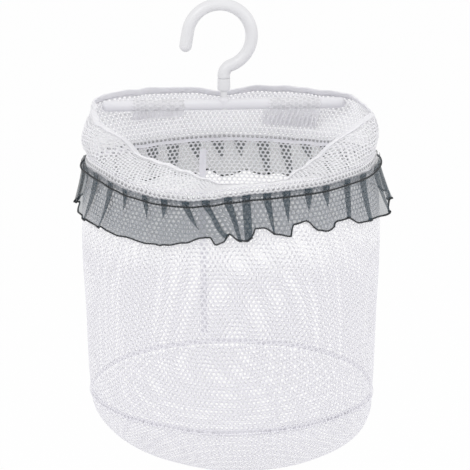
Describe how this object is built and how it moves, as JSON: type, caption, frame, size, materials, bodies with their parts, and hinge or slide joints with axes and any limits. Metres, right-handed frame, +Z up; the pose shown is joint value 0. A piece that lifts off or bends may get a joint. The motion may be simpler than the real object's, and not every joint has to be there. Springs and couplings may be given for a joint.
{
  "type": "hanging peg bag",
  "caption": "Round mesh laundry peg bag with a pleated ruffle, a wire hoop in its rim and a bowl bottom, hung by loops from a round bar with a swivel hook.",
  "frame": {"origin": "inner crown of the hook, where it rests on a rail or line", "axes": "+Z up along the height, -Y towards the front of the bag, +X to the right seen from the front, along the bar"},
  "size_m": [0.3201, 0.3204, 0.4582],
  "materials": {
    "hook_plastic": "moulded light grey-white plastic, soft gloss",
    "bar_plastic": "extruded light grey plastic, soft gloss",
    "white_mesh": "white knitted net with hexagonal holes, faint lavender tint, matt",
    "tape_cloth": "white woven tape, matt",
    "dark_organza": "sheer slate grey organza, crisp, slight sheen",
    "black_thread": "black overlock and sewing thread",
    "white_thread": "white sewing thread",
    "spring_steel": "drawn spring steel wire"
  },
  "bodies": {
    "hook": {"hook": "hook_plastic", "stem_sleeve": "hook_plastic", "swivel_pin": "hook_plastic"},
    "hanger": {"hanger_bar": "bar_plastic"},
    "bag": {"collar_band": "white_mesh", "hoop": "spring_steel", "hoop_ferrule": "spring_steel", "body_panel": "white_mesh", "bottom_disc": "white_mesh", "ruffle": "dark_organza", "ruffle_hem_thread": "black_thread", "ruffle_stitching": "black_thread", "channel_stitching": "white_thread", "bottom_stitching": "white_thread", "seam_tape": "tape_cloth", "wall_seam_tape": "tape_cloth", "bottom_seam_tape": "tape_cloth", "left_loop": "white_mesh", "left_loop_stitching": "white_thread", "right_loop": "white_mesh", "right_loop_stitching": "white_thread"}
  },
  "joints": [
    {"name": "hook_swivel", "type": "hinge", "parent": "hook", "child": "hanger", "pos_m": [0.0043, 0, -0.098], "axis": [0, 0, 1], "continuous": true},
    {"name": "bag_slide", "type": "slide", "parent": "hanger", "child": "bag", "axis": [1, 0, 0], "range_m": [-0.004, 0.004]}
  ]
}
